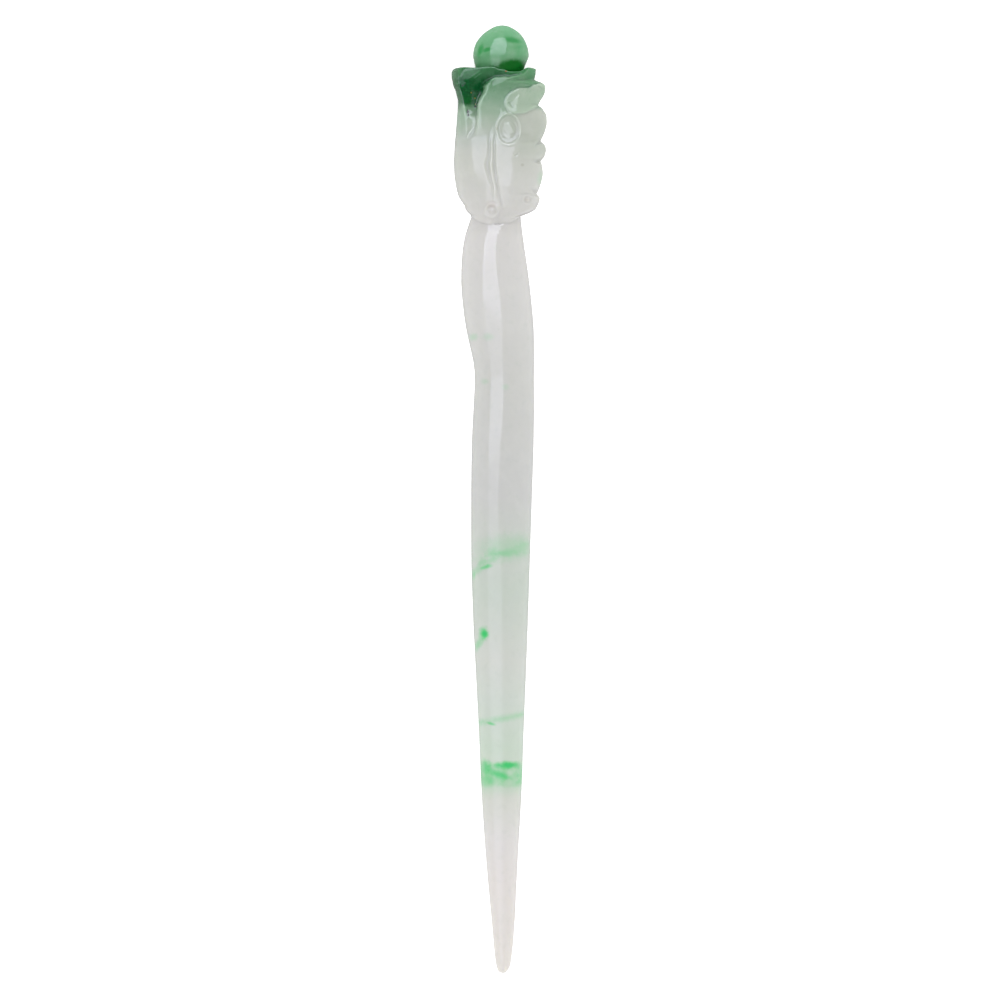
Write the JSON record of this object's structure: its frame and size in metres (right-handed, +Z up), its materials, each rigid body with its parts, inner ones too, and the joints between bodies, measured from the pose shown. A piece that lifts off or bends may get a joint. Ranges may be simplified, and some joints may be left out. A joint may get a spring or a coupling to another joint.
{
  "type": "topknot pin",
  "caption": "Carved jade hairpin: a dragon's head holding a pearl, and a long tapered shaft that goes through a topknot.",
  "frame": {"origin": "middle of the box's base: the pin lies on its side on a surface, resting on its cheeks and its shaft", "axes": "+Y from the tip to the pearl, +X to the dragon's crest, +Z up from the surface"},
  "size_m": [0.0152, 0.15, 0.0113],
  "materials": {
    "jade": "polished, translucent, pale with deep green in the pearl and lips and thin green bands on the shaft"
  },
  "bodies": {
    "root": {"hairpin": "jade"}
  },
  "joints": []
}
